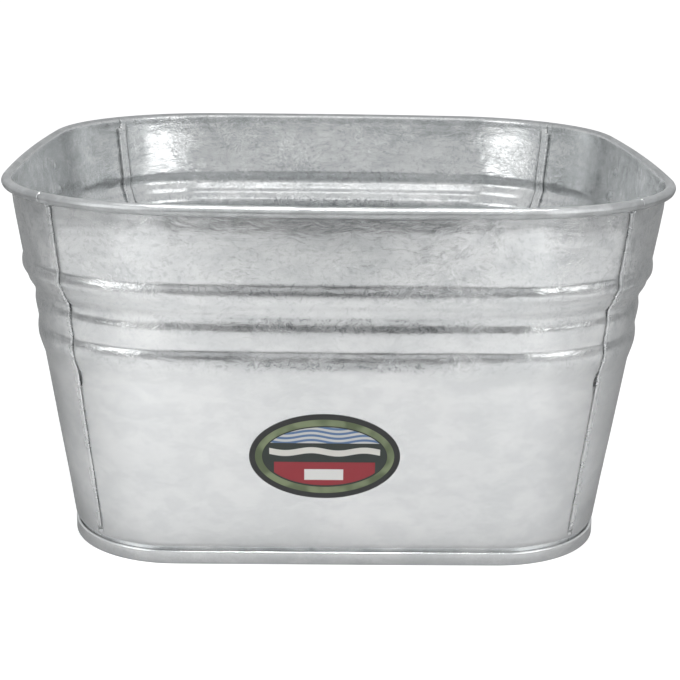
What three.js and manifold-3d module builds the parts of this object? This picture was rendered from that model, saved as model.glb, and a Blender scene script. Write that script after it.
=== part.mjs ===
// A rounded-square galvanised steel tub with two drop handles, in millimetres, +Z up.
// The origin is on the ground under the middle of the tub, and the front faces -Y.
//
// Four sheet panels, each one side and half of its two corners, are joined by a lock seam down the
// middle of every corner. Their top edge is rolled over a wire ring, and their bottom edge is hooked
// into the rim of the bottom pan. Each side panel carries a wire bail in two riveted ears.

import * as THREE from 'three';
import { mergeVertices } from 'three/addons/utils/BufferGeometryUtils.js';
import Module from 'manifold-3d';

// Sheet and clearances
const SHEET = 0.6;
const GAP = 0.3;

// The plain cone that the walls follow: half-width, corner radius, and how far a side turns between
// its middle and the start of its corner, at the ground and for each millimetre of height
const BASE_HALF_WIDTH = 208.2;
const WALL_LEAN = 0.1634;
const BASE_CORNER = 84.5;
const CORNER_GROWTH = 0.1934;
const BASE_TURN = THREE.MathUtils.degToRad(0.3);
const TURN_GROWTH = THREE.MathUtils.degToRad(0.0115);

// Chime, the double seam between the walls and the bottom pan
const CHIME_WALL = 207.7;
const CHIME_HEIGHT = 10.6;
const CHIME_HOOK_TOP = 8.5;
const PAN_HOOK_FOOT = 3;
const FLOOR_TOP = 7;

// Rolled rim
const HEIGHT = 287;
const RIM_WIRE_RADIUS = 3.15;
const ROLL_INSIDE = RIM_WIRE_RADIUS + GAP;
const ROLL_OUTSIDE = ROLL_INSIDE + SHEET;
const ROLL_HEIGHT = HEIGHT - ROLL_OUTSIDE;
const RIM_WALL = 255.5;
const ROLL_END = THREE.MathUtils.degToRad(-120);
const ROLL_STEPS = 10;

// Outside face of the wall at the middle of a side, as [height, half-width]: the plain lower wall,
// the lower swage, the middle band, the upper swage and the plain band under the rim
const WALL_PROFILE = [
  [20, 211.5],
  [150, 232.7],
  [158.5, 235.5],
  [164, 237],
  [173.5, 237.2],
  [177.5, 236.9],
  [191, 239.2],
  [202, 239.6],
  [205, 241.3],
  [216, 247.4],
  [221, 248.7],
  [230.5, 248.6],
  [268, 255.6],
];
const CHIME_FLARE = [17, 211];
const SEAM_FOOT = 19;
const SEAM_HEAD = 269;
const ROLL_FOOT = [271, 255.6];

// Lock seams, which stand inside the tub and are nearly flush outside: how far each layer reaches
// past the middle of the corner, and how far the side panels' ends are set out and the front and
// rear panels' ends set in, to leave room for the two hooks between them
const SEAM_RAMP = 6.6;
const SEAM_FLAT = 4.8;
const OVER_SET = 0.2;
const UNDER_SET = OVER_SET - 3 * (SHEET + GAP);
const UNDER_REACH = 3.6;
const OVER_REACH = 4.2;
const HOOK_RETURN = 2.5;
const BUTT_GAP = 0.15;

// Handles
const BAIL_RADIUS = 3;
const BAIL_PIVOT_HEIGHT = 250;
const BAIL_LEG_Y = 56;
const BAIL_PIN_END_Y = 79;
const BAIL_PIN_BEND = 5.5;
const BAIL_CORNER = 20;
const BAIL_DROP = 58;
const PIN_STANDOFF = BAIL_RADIUS + 0.4;
const EAR_Y = 69;
const EAR_WIDTH = 14;
const EAR_HALF_HEIGHT = 17;
const EAR_SHEET = 1.2;
const RIVET_OFFSET = 10.75;
const RIVET_RADIUS = 2;
const RIVET_HEAD = 4.2;
const RIVET_TAIL = 3.6;
const RIVET_TAIL_FACE = -1.4;

// Label on the front wall
const LABEL_WIDTH = 112;
const LABEL_TALL = 71;
const LABEL_THICKNESS = 0.3;
const LABEL_X = -10;
const LABEL_HEIGHT = 93;

const HALF_TURN = Math.PI;
const QUARTER_TURN = Math.PI / 2;
const CORNER_MIDDLE = Math.PI / 4;

const zinc = { color: 0xb9bcbc, roughness: 0.42, metalness: 0.9 };
const dullZinc = { color: 0xa3a7a8, roughness: 0.5, metalness: 0.9 };
const print = { color: 0x1d2a20, roughness: 0.45, metalness: 0 };

// ---- Plan shape of the tub ----

// The cone's plan at one height: a slightly bowed side between two corner arcs
function planAt(height) {
  return {
    half: BASE_HALF_WIDTH + WALL_LEAN * height,
    corner: BASE_CORNER + CORNER_GROWTH * height,
    turn: BASE_TURN + TURN_GROWTH * height,
  };
}

// A point of the +X side of a plan, where the wall faces the given angle, moved outwards by offset
function planPoint({ half, corner, turn }, angle, offset) {
  const beyond = (half - corner) / (Math.sin(turn) + 1 - Math.cos(turn));
  const sideRadius = beyond + corner;
  if (Math.abs(angle) <= turn) {
    const reach = sideRadius + offset;
    return [half - sideRadius + reach * Math.cos(angle), reach * Math.sin(angle)];
  }
  const centre = beyond * Math.sin(turn);
  const reach = corner + offset;
  return [centre + reach * Math.cos(angle), Math.sign(angle) * centre + reach * Math.sin(angle)];
}

// The angle of a point that lies a given distance past the middle of the corner
function pastCorner(plan, distance) {
  return CORNER_MIDDLE + distance / plan.corner;
}

// Angles from the middle of a side to the ramp of its seam, shared by every piece that runs round
// the tub, so that the pieces keep the same gap all the way
function halfSideAngles(plan) {
  const ramp = pastCorner(plan, -SEAM_RAMP);
  const cornerSteps = 4;
  const angles = [0, plan.turn / 2];
  for (let i = 0; i <= cornerSteps; i += 1) {
    angles.push(plan.turn + ((ramp - plan.turn) * i) / cornerSteps);
  }
  return angles;
}

function mirrored(list) {
  return [...list.slice(1).reverse().map((value) => -value), ...list];
}

// ---- Meshes from rows of points ----

function closedMesh(points, faces) {
  const geometry = new THREE.BufferGeometry();
  geometry.setAttribute('position', new THREE.Float32BufferAttribute(points.flat(), 3));
  geometry.setIndex(faces.flat());
  return mergeVertices(geometry, 1e-5);
}

// A bent sheet: rows of points on one face and the matching rows on the other. With the rows going
// up and the columns going anticlockwise seen from above, the first face looks outwards.
// hooks, if given, folds each end of the sheet over between two of its rows: from row first to row
// last, start and end hold the four points that the fold adds between the two faces.
function sheetMesh(outerRows, innerRows, hooks) {
  const rows = outerRows.length;
  const columns = outerRows[0].length;
  const points = [...outerRows.flat(), ...innerRows.flat()];
  const outer = (row, column) => row * columns + column;
  const inner = (row, column) => (rows + row) * columns + column;
  const faces = [];
  const quad = (a, b, c, d) => faces.push([a, b, c], [a, c, d]);
  for (let row = 0; row < rows - 1; row += 1) {
    for (let column = 0; column < columns - 1; column += 1) {
      quad(outer(row, column), outer(row, column + 1), outer(row + 1, column + 1), outer(row + 1, column));
      faces.push([inner(row, column), inner(row + 1, column + 1), inner(row, column + 1)]);
      faces.push([inner(row, column), inner(row + 1, column), inner(row + 1, column + 1)]);
    }
  }
  for (let column = 0; column < columns - 1; column += 1) {
    quad(inner(0, column), inner(0, column + 1), outer(0, column + 1), outer(0, column));
    const top = rows - 1;
    quad(outer(top, column), outer(top, column + 1), inner(top, column + 1), inner(top, column));
  }
  for (const [column, hook] of [[0, hooks.start], [columns - 1, hooks.end]]) {
    const turned = (...corners) => quad(...(column === 0 ? corners.reverse() : corners));
    const hookStart = points.push(...hook.flat()) - hook.flat().length;
    const plain = (row) => [outer(row, column), inner(row, column)];
    const folded = (row) => {
      const added = hook[0].map((_, i) => hookStart + (row - hooks.first) * hook[0].length + i);
      return [outer(row, column), ...added, inner(row, column)];
    };
    for (let row = 0; row < rows - 1; row += 1) {
      const across = row >= hooks.first && row < hooks.last ? folded : plain;
      const [lower, upper] = [across(row), across(row + 1)];
      for (let i = 0; i < lower.length - 1; i += 1) {
        turned(lower[i], lower[i + 1], upper[i + 1], upper[i]);
      }
    }
    const [edge, bend, tip, returned, back, face] = folded(hooks.last);
    turned(edge, bend, back, face);
    turned(bend, tip, returned, back);
    const [edge0, bend0, tip0, returned0, back0, face0] = folded(hooks.first);
    turned(face0, back0, bend0, edge0);
    turned(back0, returned0, tip0, bend0);
  }
  return closedMesh(points, faces);
}

const wasm = await Module();
wasm.setup();

function toSolid(geometry) {
  const bare = new THREE.BufferGeometry();
  bare.setAttribute('position', geometry.getAttribute('position').clone());
  if (geometry.index) bare.setIndex(geometry.index.clone());
  const merged = mergeVertices(bare, 1e-4);
  return new wasm.Manifold(
    new wasm.Mesh({
      numProp: 3,
      vertProperties: new Float32Array(merged.getAttribute('position').array),
      triVerts: new Uint32Array(merged.index.array),
    }),
  );
}

function toGeometry(solid) {
  const { vertProperties, triVerts } = solid.getMesh();
  const geometry = new THREE.BufferGeometry();
  geometry.setAttribute('position', new THREE.BufferAttribute(vertProperties, 3));
  geometry.setIndex(new THREE.BufferAttribute(triVerts, 1));
  return geometry;
}

function namedMesh(name, geometry, finish) {
  const mesh = new THREE.Mesh(geometry, new THREE.MeshStandardMaterial(finish));
  mesh.name = name;
  return mesh;
}

// ---- Wall panels ----

// One row across a panel: its plan, and the offset and height of its outside and inside faces.
// seam is 0 where the ends butt, 1 where they are set in or out, and 2 where they also overlap.
function wallRow([height, half], seam) {
  const plan = planAt(height);
  const offset = half - plan.half;
  return { plan, outside: [offset, height], inside: [offset - SHEET, height], seam };
}

function chimeRows() {
  const plan = planAt(0);
  const face = CHIME_WALL - plan.half;
  const hook = [GAP + SHEET + GAP, GAP + 2 * SHEET + GAP];
  const web = [SHEET + GAP, 2 * SHEET + GAP];
  const row = (outside, inside) => ({
    plan,
    outside: [face + outside[0], outside[1]],
    inside: [face + inside[0], inside[1]],
    seam: 0,
  });
  return [
    row([hook[0], CHIME_HOOK_TOP], [hook[1], CHIME_HOOK_TOP]),
    row([hook[0], web[1]], [hook[1], web[0]]),
    row([0, web[1]], [-SHEET, web[0]]),
    row([0, CHIME_HEIGHT + GAP], [-SHEET, CHIME_HEIGHT + GAP]),
  ];
}

function rollRows() {
  const plan = planAt(ROLL_HEIGHT);
  const face = RIM_WALL - plan.half;
  const rows = [];
  for (let i = 0; i <= ROLL_STEPS; i += 1) {
    const angle = HALF_TURN + ((ROLL_END - HALF_TURN) * i) / ROLL_STEPS;
    const at = (radius) => [
      face + ROLL_INSIDE + radius * Math.cos(angle),
      ROLL_HEIGHT + radius * Math.sin(angle),
    ];
    rows.push({ plan, outside: at(ROLL_INSIDE), inside: at(ROLL_OUTSIDE), seam: 0 });
  }
  return rows;
}

function interpolateWall(height) {
  const above = WALL_PROFILE.findIndex(([level]) => level >= height);
  const next = WALL_PROFILE[Math.max(above, 1)];
  const last = WALL_PROFILE[Math.max(above, 1) - 1];
  return last[1] + ((next[1] - last[1]) * (height - last[0])) / (next[0] - last[0]);
}

const lowerRows = [
  ...chimeRows(),
  wallRow(CHIME_FLARE, 0),
  wallRow([SEAM_FOOT, interpolateWall(SEAM_FOOT)], 1),
];
const seamRows = WALL_PROFILE.map((point) => wallRow(point, 2));
const panelRows = [
  ...lowerRows,
  ...seamRows,
  wallRow([SEAM_HEAD, WALL_PROFILE.at(-1)[1]], 1),
  wallRow(ROLL_FOOT, 0),
  ...rollRows(),
];

// The two kinds of panel. The under panels are set in, and their hooks turn outwards; the over
// panels are set out, and theirs turn inwards, so that each hook lies in the other. A hook is given
// by its four added points, as [distance past the corner's middle, extra offset].
const UNDER = {
  set: UNDER_SET,
  outsideReach: UNDER_REACH - SHEET,
  insideReach: UNDER_REACH,
  hook: [
    [UNDER_REACH - SHEET, UNDER_SET + GAP + SHEET + GAP],
    [-HOOK_RETURN, UNDER_SET + GAP + SHEET + GAP],
    [-HOOK_RETURN, OVER_SET - SHEET - GAP],
    [UNDER_REACH, OVER_SET - SHEET - GAP],
  ],
};
const OVER = {
  set: OVER_SET,
  outsideReach: OVER_REACH,
  insideReach: OVER_REACH - SHEET,
  hook: [
    [OVER_REACH, UNDER_SET + GAP],
    [-HOOK_RETURN, UNDER_SET + GAP],
    [-HOOK_RETURN, UNDER_SET + GAP + SHEET],
    [OVER_REACH - SHEET, UNDER_SET + GAP + SHEET],
  ],
};

// One face of a panel along one row
function panelFace(row, face, kind) {
  const { plan, seam } = row;
  const [offset, height] = row[face];
  const set = seam > 0 ? kind.set : 0;
  const reach = seam > 1 ? kind[`${face}Reach`] : -BUTT_GAP;
  const end = [
    [pastCorner(plan, -SEAM_FLAT), set],
    [pastCorner(plan, reach), set],
  ];
  const start = end.map(([angle, extra]) => [-angle, extra]).reverse();
  const middle = mirrored(halfSideAngles(plan)).map((angle) => [angle, 0]);
  return [...start, ...middle, ...end].map(([angle, extra]) => [
    ...planPoint(plan, angle, offset + extra),
    height,
  ]);
}

// The hook along one end of a panel, in every row that has the seam
function seamHook(kind, side) {
  return seamRows.map(({ plan, outside: [offset, height] }) =>
    kind.hook.map(([past, extra]) => [
      ...planPoint(plan, side * pastCorner(plan, past), offset + extra),
      height,
    ]),
  );
}

function panelMesh(kind) {
  return sheetMesh(
    panelRows.map((row) => panelFace(row, 'outside', kind)),
    panelRows.map((row) => panelFace(row, 'inside', kind)),
    {
      first: lowerRows.length,
      last: lowerRows.length + seamRows.length - 1,
      start: seamHook(kind, -1),
      end: seamHook(kind, 1),
    },
  );
}

// ---- Pieces that run all the way round ----

// Angles right round the tub, as [quarter turns, angle within the side]
function roundStations(plan) {
  const side = mirrored(halfSideAngles(plan));
  const stations = [];
  for (let quarter = 0; quarter < 4; quarter += 1) {
    side.forEach((angle) => stations.push([quarter, angle]));
    stations.push([quarter, CORNER_MIDDLE]);
  }
  return stations;
}

function stationPoint(plan, [quarter, angle], offset) {
  const [x, y] = planPoint(plan, angle, offset);
  const turn = quarter * QUARTER_TURN;
  return [x * Math.cos(turn) - y * Math.sin(turn), x * Math.sin(turn) + y * Math.cos(turn)];
}

// The bottom pan: a floor, a leg down inside the walls, and a rim that wraps the walls' hooks
function bottomPan() {
  const plan = planAt(0);
  const face = CHIME_WALL - plan.half;
  const leg = face - SHEET - GAP;
  const hook = face + GAP;
  const rim = face + 3 * GAP + 2 * SHEET;
  const section = [
    [leg - SHEET, FLOOR_TOP - SHEET],
    [leg - SHEET, 0],
    [rim + SHEET, 0],
    [rim + SHEET, CHIME_HEIGHT],
    [hook, CHIME_HEIGHT],
    [hook, PAN_HOOK_FOOT],
    [hook + SHEET, PAN_HOOK_FOOT],
    [hook + SHEET, CHIME_HEIGHT - SHEET],
    [rim, CHIME_HEIGHT - SHEET],
    [rim, SHEET],
    [leg, SHEET],
    [leg, FLOOR_TOP],
  ];
  const stations = roundStations(plan);
  const count = stations.length;
  const points = section.flatMap(([offset, height]) =>
    stations.map((station) => [...stationPoint(plan, station, offset), height]),
  );
  const faces = [];
  for (let ring = 0; ring < section.length - 1; ring += 1) {
    for (let i = 0; i < count; i += 1) {
      const a = ring * count + i;
      const b = ring * count + ((i + 1) % count);
      faces.push([a, a + count, b + count], [a, b + count, b]);
    }
  }
  const underside = points.push([0, 0, FLOOR_TOP - SHEET]) - 1;
  const topside = points.push([0, 0, FLOOR_TOP]) - 1;
  const lastRing = (section.length - 1) * count;
  for (let i = 0; i < count; i += 1) {
    const next = (i + 1) % count;
    faces.push([underside, i, next]);
    faces.push([topside, lastRing + next, lastRing + i]);
  }
  faces.forEach((face) => face.reverse());
  return closedMesh(points, faces);
}

// A path of straight steps through given points, sampled once at each point
class StationPath extends THREE.Curve {
  constructor(points) {
    super();
    this.points = points;
  }

  getPoint(t, target = new THREE.Vector3()) {
    const last = this.points.length - 1;
    const step = Math.min(Math.floor(t * last + 1e-6), last - 1);
    return target.lerpVectors(this.points[step], this.points[step + 1], t * last - step);
  }

  getPointAt(u, target) {
    return this.getPoint(u, target);
  }

  getTangentAt(u, target = new THREE.Vector3()) {
    const last = this.points.length - 1;
    const at = Math.round(u * last);
    const before = this.points[Math.max(at - 1, 0)];
    const after = this.points[Math.min(at + 1, last)];
    return target.subVectors(after, before).normalize();
  }
}

function wireSection(radius, sides) {
  const corners = [];
  for (let i = 0; i < sides; i += 1) {
    const angle = (2 * Math.PI * (i + 0.5)) / sides;
    corners.push(new THREE.Vector2(radius * Math.cos(angle), radius * Math.sin(angle)));
  }
  return new THREE.Shape(corners);
}

// The rim wire is one length of wire bent round the tub, its ends meeting at the middle of the rear
function rimWire() {
  const plan = planAt(ROLL_HEIGHT);
  const offset = RIM_WALL - plan.half + ROLL_INSIDE;
  const stations = roundStations(plan);
  const rear = stations.findIndex(([quarter, angle]) => quarter === 1 && angle === 0);
  const order = [...stations.slice(rear), ...stations.slice(0, rear + 1)];
  const points = order.map((station) => {
    const [x, y] = stationPoint(plan, station, offset);
    return new THREE.Vector3(x, y, ROLL_HEIGHT);
  });
  const endGap = 0.5;
  points[0].x -= endGap;
  points.at(-1).x += endGap;
  return new THREE.ExtrudeGeometry(wireSection(RIM_WIRE_RADIUS, 8), {
    steps: points.length - 1,
    bevelEnabled: false,
    extrudePath: new StationPath(points),
  });
}

// ---- Handles ----

// A bail: pivot pins turned outwards, two legs and a straight grip, hanging from the pivot axis
function bail() {
  const points = [];
  const add = (y, z) => points.push(new THREE.Vector3(0, y, z));
  const arc = (y, z, radius, from, to, steps) => {
    for (let i = 0; i <= steps; i += 1) {
      const angle = from + ((to - from) * i) / steps;
      add(y + radius * Math.cos(angle), z + radius * Math.sin(angle));
    }
  };
  const gripY = BAIL_LEG_Y - BAIL_CORNER;
  const bendY = BAIL_LEG_Y + BAIL_PIN_BEND;
  add(-BAIL_PIN_END_Y, 0);
  add(-EAR_Y, 0);
  arc(-bendY, -BAIL_PIN_BEND, BAIL_PIN_BEND, QUARTER_TURN, 0, 4);
  arc(-gripY, BAIL_CORNER - BAIL_DROP, BAIL_CORNER, HALF_TURN, HALF_TURN + QUARTER_TURN, 6);
  arc(gripY, BAIL_CORNER - BAIL_DROP, BAIL_CORNER, -QUARTER_TURN, 0, 6);
  arc(bendY, -BAIL_PIN_BEND, BAIL_PIN_BEND, HALF_TURN, QUARTER_TURN, 4);
  add(EAR_Y, 0);
  add(BAIL_PIN_END_Y, 0);
  return new THREE.ExtrudeGeometry(wireSection(BAIL_RADIUS, 8), {
    steps: points.length - 1,
    bevelEnabled: false,
    extrudePath: new StationPath(points),
  });
}

function rivet() {
  const neck = GAP + EAR_SHEET + GAP;
  const profile = [
    [0, RIVET_TAIL_FACE - EAR_SHEET],
    [RIVET_TAIL, RIVET_TAIL_FACE - EAR_SHEET],
    [RIVET_TAIL, RIVET_TAIL_FACE],
    [RIVET_RADIUS, RIVET_TAIL_FACE],
    [RIVET_RADIUS, neck],
    [RIVET_HEAD, neck],
    [RIVET_HEAD * 0.85, neck + 1.1],
    [RIVET_HEAD * 0.45, neck + 1.8],
    [0, neck + 2],
  ];
  const points = profile.map(([radius, along]) => new THREE.Vector2(radius, along));
  return new THREE.LatheGeometry(points, 10).rotateZ(-QUARTER_TURN);
}

function rivetHole() {
  const clearance = new THREE.CylinderGeometry(RIVET_RADIUS + GAP, RIVET_RADIUS + GAP, 12, 12);
  return clearance.rotateZ(-QUARTER_TURN);
}

// An ear: a strap with a half-round channel over the bail's pin, its feet flat on the wall
function ear() {
  const inside = BAIL_RADIUS + GAP;
  const outside = inside + EAR_SHEET;
  const foot = GAP + EAR_SHEET;
  const shape = new THREE.Shape();
  shape.moveTo(GAP, -EAR_HALF_HEIGHT);
  shape.lineTo(foot, -EAR_HALF_HEIGHT);
  shape.lineTo(foot, -outside);
  shape.lineTo(PIN_STANDOFF, -outside);
  shape.absarc(PIN_STANDOFF, 0, outside, -QUARTER_TURN, QUARTER_TURN, false);
  shape.lineTo(foot, outside);
  shape.lineTo(foot, EAR_HALF_HEIGHT);
  shape.lineTo(GAP, EAR_HALF_HEIGHT);
  shape.lineTo(GAP, inside);
  shape.lineTo(PIN_STANDOFF, inside);
  shape.absarc(PIN_STANDOFF, 0, inside, QUARTER_TURN, -QUARTER_TURN, true);
  shape.lineTo(GAP, -inside);
  const strap = new THREE.ExtrudeGeometry(shape, {
    depth: EAR_WIDTH,
    steps: 1,
    curveSegments: 6,
    bevelEnabled: false,
  });
  strap.translate(0, 0, -EAR_WIDTH / 2).rotateX(QUARTER_TURN);
  let solid = toSolid(strap);
  for (const end of [-1, 1]) {
    solid = solid.subtract(toSolid(rivetHole().translate(0, 0, end * RIVET_OFFSET)));
  }
  return toGeometry(solid);
}

// ---- The tub ----

const tub = new THREE.Group();

const underPanel = panelMesh(UNDER);

// The ears' frame on the +X side: its X axis stands off the wall, and its Z axis runs up the wall
const upperBand = WALL_PROFILE.slice(-2);
const bandLean = Math.atan2(upperBand[1][1] - upperBand[0][1], upperBand[1][0] - upperBand[0][0]);
const handlePlan = planAt(BAIL_PIVOT_HEIGHT);
const bandOffset = interpolateWall(BAIL_PIVOT_HEIGHT) - handlePlan.half;
const earWall = planPoint(handlePlan, handlePlan.turn / 2, bandOffset)[0];

const earFrame = new THREE.Matrix4()
  .makeRotationY(bandLean)
  .setPosition(earWall, 0, BAIL_PIVOT_HEIGHT);
const pivot = new THREE.Vector3(PIN_STANDOFF, 0, 0).applyMatrix4(earFrame);

let sidePanel = toSolid(panelMesh(OVER));
for (const y of [-EAR_Y, EAR_Y]) {
  for (const end of [-1, 1]) {
    const hole = rivetHole().translate(0, y, end * RIVET_OFFSET).applyMatrix4(earFrame);
    sidePanel = sidePanel.subtract(toSolid(hole));
  }
}

const panels = [
  ['right_panel', toGeometry(sidePanel), 0],
  ['rear_panel', underPanel, 1],
  ['left_panel', toGeometry(sidePanel), 2],
  ['front_panel', underPanel, 3],
];
for (const [name, geometry, quarter] of panels) {
  const panel = namedMesh(name, geometry, zinc);
  panel.rotation.z = quarter * QUARTER_TURN;
  tub.add(panel);
}

tub.add(namedMesh('bottom_pan', bottomPan(), zinc));
tub.add(namedMesh('rim_wire', rimWire(), dullZinc));

for (const [side, turn] of [['right', 0], ['left', HALF_TURN]]) {
  const handle = new THREE.Group();
  handle.rotation.z = turn;
  tub.add(handle);

  const wire = namedMesh(`${side}_bail`, bail(), dullZinc);
  wire.position.copy(pivot);
  handle.add(wire);

  const fittings = new THREE.Group();
  fittings.applyMatrix4(earFrame);
  handle.add(fittings);
  const ends = side === 'right' ? [['front', -1], ['rear', 1]] : [['rear', -1], ['front', 1]];
  for (const [end, sign] of ends) {
    const strap = namedMesh(`${side}_${end}_ear`, ear(), dullZinc);
    strap.position.y = sign * EAR_Y;
    fittings.add(strap);
    for (const [level, up] of [['lower', -1], ['upper', 1]]) {
      const pin = namedMesh(`${side}_${end}_${level}_rivet`, rivet(), dullZinc);
      pin.position.set(0, sign * EAR_Y, up * RIVET_OFFSET);
      fittings.add(pin);
    }
  }
}

// The label is an oval sticker lying on the lower front wall
const labelOutline = new THREE.Shape();
labelOutline.absellipse(0, 0, LABEL_WIDTH / 2, LABEL_TALL / 2, 0, 2 * Math.PI, false, 0);
const label = namedMesh(
  'front_label',
  new THREE.ExtrudeGeometry(labelOutline, {
    depth: LABEL_THICKNESS,
    steps: 1,
    curveSegments: 12,
    bevelEnabled: false,
  }),
  print,
);
const labelFace = interpolateWall(LABEL_HEIGHT) + GAP;
label.position.set(LABEL_X, -labelFace, LABEL_HEIGHT);
label.rotation.x = QUARTER_TURN + Math.atan(WALL_LEAN);
tub.add(label);

export default tub;
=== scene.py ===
import math

import bmesh
import bpy
from mathutils import Matrix, Vector, noise


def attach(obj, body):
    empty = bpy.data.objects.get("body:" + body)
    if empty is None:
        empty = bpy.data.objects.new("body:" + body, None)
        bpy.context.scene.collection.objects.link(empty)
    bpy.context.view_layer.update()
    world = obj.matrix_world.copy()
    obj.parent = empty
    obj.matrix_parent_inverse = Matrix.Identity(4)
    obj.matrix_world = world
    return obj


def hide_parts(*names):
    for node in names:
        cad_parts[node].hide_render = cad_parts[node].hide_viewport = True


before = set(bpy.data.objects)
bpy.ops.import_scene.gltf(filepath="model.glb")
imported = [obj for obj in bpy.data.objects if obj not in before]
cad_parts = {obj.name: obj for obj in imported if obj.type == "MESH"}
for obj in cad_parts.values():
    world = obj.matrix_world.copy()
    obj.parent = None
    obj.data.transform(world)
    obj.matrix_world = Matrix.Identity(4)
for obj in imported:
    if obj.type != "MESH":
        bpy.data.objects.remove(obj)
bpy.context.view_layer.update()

MM = 0.001
scene = bpy.context.scene

# ---- Camera ----
# Stands 1 m in front of the tub and 0.19 m above its rim, looking a little down into it through a
# long lens.
camera_data = bpy.data.cameras.new("camera")
camera_data.sensor_width = 36
camera_data.lens = 78.98
camera = bpy.data.objects.new("camera", camera_data)
camera.location = (-0.0209, -1.2651, 0.4732)
heading = Matrix.Rotation(math.radians(-1.155), 3, "Z")
looking_down = Matrix.Rotation(math.radians(90 - 15.574), 3, "X")
camera_roll = Matrix.Rotation(math.radians(0.85), 3, "Z")
camera.rotation_euler = (heading @ looking_down @ camera_roll).to_euler()
scene.collection.objects.link(camera)
scene.camera = camera

# ---- Floor and light ----
# A plain pale floor. Broad soft lights hang over the tub and above and behind the camera, two tall
# ones stand to the left and right, and round pools of light lie on the floor in front of the tub.
scene.view_settings.view_transform = "Standard"


def node(tree, kind, inputs=None, **settings):
    """A shader node with its settings made and its inputs, by name or number, filled or linked."""
    made = tree.nodes.new(kind)
    for name, value in settings.items():
        setattr(made, name, value)
    for name, value in (inputs or {}).items():
        if isinstance(value, bpy.types.NodeSocket):
            tree.links.new(value, made.inputs[name])
        else:
            made.inputs[name].default_value = value
    return made


def new_material(name):
    """A material with only its output node, and the node tree to fill."""
    material = bpy.data.materials.new(name)
    material.use_nodes = True
    tree = material.node_tree
    tree.nodes.clear()
    return material, tree


def surface(tree, inputs):
    """Ends a material in one Principled shader."""
    shader = node(tree, "ShaderNodeBsdfPrincipled", inputs)
    node(tree, "ShaderNodeOutputMaterial", {"Surface": shader.outputs[0]})


def finished_object(name, bm, material):
    """Turns a bmesh, which is in millimetres, into a smooth-shaded object in metres."""
    bmesh.ops.scale(bm, vec=(MM, MM, MM), verts=bm.verts)
    for face in bm.faces:
        face.smooth = True
    mesh = bpy.data.meshes.new(name)
    bm.to_mesh(mesh)
    bm.free()
    mesh.materials.append(material)
    made = bpy.data.objects.new(name, mesh)
    scene.collection.objects.link(made)
    return made


# The paint is grey where the tub mirrors it, with a darker oval patch in front of the tub, and glows
# near white where the camera sees it. The patch's place and radii are in metres.
PATCH_Y = -1.68
PATCH_HALF_WIDTH, PATCH_HALF_DEEP = 0.5, 0.85
floor_paint, tree = new_material("floor paint")
from_patch = node(tree, "ShaderNodeMapping", {
    "Vector": node(tree, "ShaderNodeTexCoord").outputs["Object"],
    "Location": (0, -PATCH_Y / PATCH_HALF_DEEP, 0),
    "Scale": (1 / PATCH_HALF_WIDTH, 1 / PATCH_HALF_DEEP, 0),
}).outputs[0]
away = node(tree, "ShaderNodeVectorMath", {0: from_patch}, operation="LENGTH").outputs["Value"]
grey = node(tree, "ShaderNodeMapRange", {
    "Value": away, "From Min": 0.65, "From Max": 1.15, "To Min": 0.17, "To Max": 0.43,
}, interpolation_type="SMOOTHSTEP").outputs[0]
paint = node(tree, "ShaderNodeBsdfDiffuse", {"Color": grey}).outputs[0]
glow = node(tree, "ShaderNodeEmission", {"Color": (1, 1, 1, 1), "Strength": 0.8}).outputs[0]
lit_paint = node(tree, "ShaderNodeAddShader", {0: paint, 1: glow}).outputs[0]
seen = node(tree, "ShaderNodeLightPath").outputs["Is Camera Ray"]
seen_or_not = node(tree, "ShaderNodeMixShader", {0: seen, 1: paint, 2: lit_paint}).outputs[0]
node(tree, "ShaderNodeOutputMaterial", {"Surface": seen_or_not})
FLOOR_HALF = 15000
bm = bmesh.new()
bmesh.ops.create_grid(bm, x_segments=1, y_segments=1, size=FLOOR_HALF)
floor = finished_object("floor", bm, floor_paint)

# The room is dimmest at the horizon and lightens upwards
world = bpy.data.worlds.new("room")
world.use_nodes = True
tree = world.node_tree
tree.nodes.clear()
looking = node(tree, "ShaderNodeTexCoord").outputs["Generated"]
upwards = node(tree, "ShaderNodeSeparateXYZ", {"Vector": looking}).outputs["Z"]
brightness = node(tree, "ShaderNodeMapRange", {
    "Value": upwards, "From Min": 0.0, "From Max": 0.8, "To Min": 0.6, "To Max": 0.66,
}).outputs[0]
room = node(tree, "ShaderNodeBackground", {"Color": (0.98, 0.99, 1, 1), "Strength": brightness})
node(tree, "ShaderNodeOutputWorld", {"Surface": room.outputs[0]})
scene.world = world


def soft_light(name, place, aim, width, tall, watts):
    """A rectangular lamp at a place, turned towards the point it is aimed at."""
    data = bpy.data.lights.new(name, "AREA")
    data.shape = "RECTANGLE"
    data.size = width
    data.size_y = tall
    data.energy = watts
    made = bpy.data.objects.new(name, data)
    made.location = place
    made.visible_camera = False
    made.rotation_euler = (Vector(aim) - Vector(place)).to_track_quat("-Z", "Y").to_euler()
    scene.collection.objects.link(made)


soft_light("light_above", (0, -0.1, 1.6), (0, -0.1, 0), 1.2, 0.35, 0.3)
soft_light("light_front", (0, -2.2, 2.5), (0, 0, 0.1), 1.6, 0.8, 3)
soft_light("light_left", (-1.2, -1.15, 0.7), (0, 0, 0.15), 1.0, 1.2, 4.6)
soft_light("light_right", (1.2, -1.15, 0.7), (0, 0, 0.15), 1.0, 1.2, 4.6)


POOL_LAMP_HEIGHT = 1.7
POOL_LAMP_BACK = 0.14


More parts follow.
